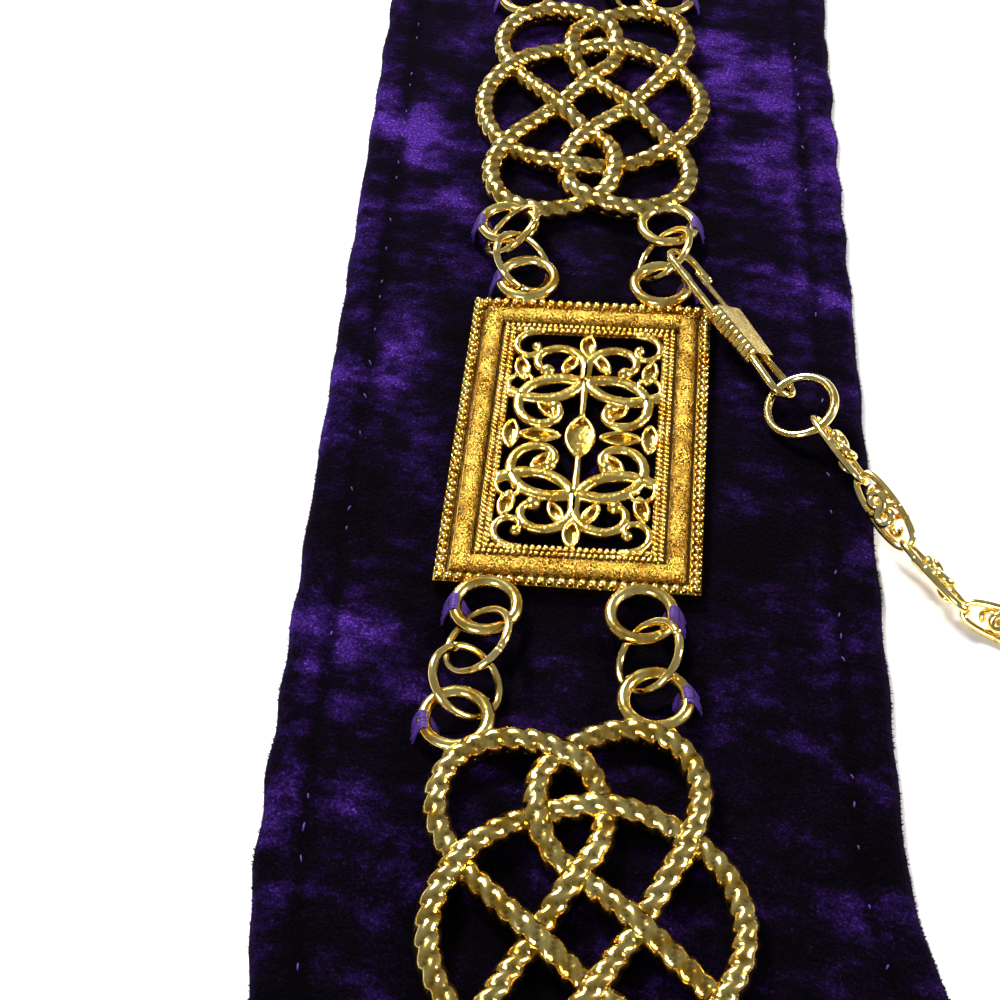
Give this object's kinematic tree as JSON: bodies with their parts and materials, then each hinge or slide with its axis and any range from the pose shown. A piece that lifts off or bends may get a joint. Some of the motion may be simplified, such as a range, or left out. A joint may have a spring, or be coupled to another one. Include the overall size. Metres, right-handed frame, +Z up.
{
  "type": "chain collar",
  "caption": "Flat pointed velvet collar with a gilt chain of knot and framed plaque links, snap hooks and a chest chain.",
  "frame": {"origin": "middle of the collar's outline, on the ground under the flat velvet band", "axes": "+Z up from the ground, -Y towards the point of the collar, +Y towards the neck, +X to the right seen from above"},
  "size_m": [0.33, 0.5824, 0.0116],
  "materials": {
    "velvet": "deep purple cut pile velvet",
    "cast_gilt": "bright gilt over cast brass",
    "bright_gilt": "polished gilt"
  },
  "bodies": {
    "collar": {"big_ring_left": "bright_gilt", "big_ring_right": "bright_gilt", "chest_chain": "bright_gilt", "jump_ring_left_1_inner": "bright_gilt", "jump_ring_left_1_outer_1": "bright_gilt", "jump_ring_left_1_outer_2": "bright_gilt", "jump_ring_left_1_outer_3": "bright_gilt", "jump_ring_left_1_outer_4": "bright_gilt", "jump_ring_left_2_inner": "bright_gilt", "jump_ring_left_2_outer_1": "bright_gilt", "jump_ring_left_2_outer_2": "bright_gilt", "jump_ring_left_3_inner": "bright_gilt", "jump_ring_left_3_outer_1": "bright_gilt", "jump_ring_left_3_outer_2": "bright_gilt", "jump_ring_left_4_inner": "bright_gilt", "jump_ring_left_4_outer_1": "bright_gilt", "jump_ring_left_4_outer_2": "bright_gilt", "jump_ring_left_point_1": "bright_gilt", "jump_ring_left_point_2": "bright_gilt", "jump_ring_neck_inner": "bright_gilt", "jump_ring_neck_outer_1": "bright_gilt", "jump_ring_neck_outer_2": "bright_gilt", "jump_ring_neck_outer_3": "bright_gilt", "jump_ring_neck_outer_4": "bright_gilt", "jump_ring_right_1_inner": "bright_gilt", "jump_ring_right_1_outer_1": "bright_gilt", "jump_ring_right_1_outer_2": "bright_gilt", "jump_ring_right_1_outer_3": "bright_gilt", "jump_ring_right_1_outer_4": "bright_gilt", "jump_ring_right_2_inner": "bright_gilt", "jump_ring_right_2_outer_1": "bright_gilt", "jump_ring_right_2_outer_2": "bright_gilt", "jump_ring_right_3_inner": "bright_gilt", "jump_ring_right_3_outer_1": "bright_gilt", "jump_ring_right_3_outer_2": "bright_gilt", "jump_ring_right_4_inner": "bright_gilt", "jump_ring_right_4_outer_1": "bright_gilt", "jump_ring_right_4_outer_2": "bright_gilt", "jump_ring_right_point_1": "bright_gilt", "jump_ring_right_point_2": "bright_gilt", "knot_link_left_1": "cast_gilt", "knot_link_left_2": "cast_gilt", "knot_link_left_3": "cast_gilt", "knot_link_right_1": "cast_gilt", "knot_link_right_2": "cast_gilt", "knot_link_right_3": "cast_gilt", "plaque_link_left_1": "cast_gilt", "plaque_link_left_2": "cast_gilt", "plaque_link_right_1": "cast_gilt", "plaque_link_right_2": "cast_gilt", "point_ring": "cast_gilt", "snap_hook_left": "bright_gilt", "snap_hook_right": "bright_gilt", "velvet_band": "velvet"},
    "tongue_left": {"hook_tongue_left": "bright_gilt"},
    "tongue_right": {"hook_tongue_right": "bright_gilt"}
  },
  "joints": [
    {"name": "tongue_left_hinge", "type": "hinge", "parent": "collar", "child": "tongue_left", "pos_m": [-0.06456, 0.0058, 0.00628], "axis": [0.442, 0.3328, 0.833], "range_deg": [0, 12], "stiffness_Nm_per_rad": 0.02},
    {"name": "tongue_right_hinge", "type": "hinge", "parent": "collar", "child": "tongue_right", "pos_m": [0.06456, 0.0058, 0.00628], "axis": [0.442, -0.3328, -0.833], "range_deg": [0, 12], "stiffness_Nm_per_rad": 0.02}
  ]
}
